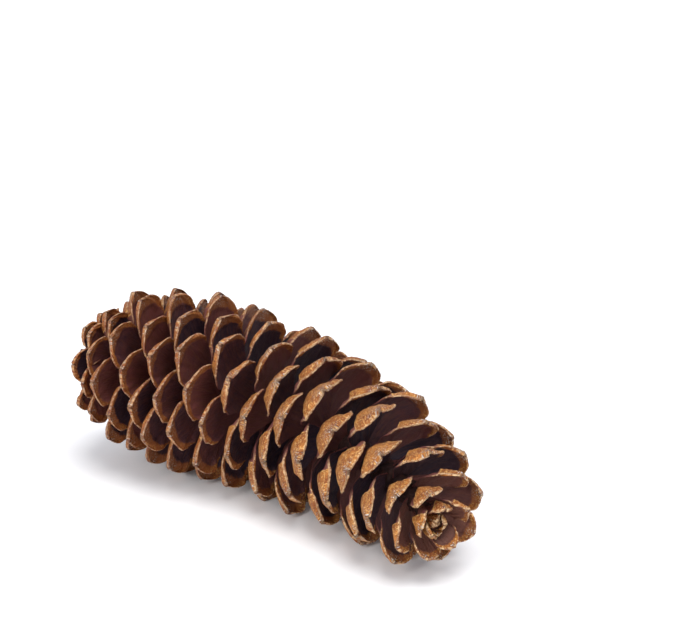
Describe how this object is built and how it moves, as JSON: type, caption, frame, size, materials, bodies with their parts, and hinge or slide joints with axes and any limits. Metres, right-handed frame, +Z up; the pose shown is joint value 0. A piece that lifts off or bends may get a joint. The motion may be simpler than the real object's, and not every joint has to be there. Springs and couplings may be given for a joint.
{
  "type": "pine cone",
  "caption": "Very large open pine cone lying on its side, gently curved, with broad woody scales spreading from a central core in a spiral.",
  "frame": {"origin": "centre of the bounding box in plan, on the surface the cone lies on", "axes": "+X along the cone from its base to its tip, +Y toward the outer side of its curve, +Z up"},
  "size_m": [0.3268, 0.1308, 0.1201],
  "materials": {
    "cone_wood": "matt dry wood, tan on the scale ends and dark purple-brown between them, with specks of pale resin"
  },
  "bodies": {
    "root": {"pine_cone": "cone_wood"}
  },
  "joints": []
}
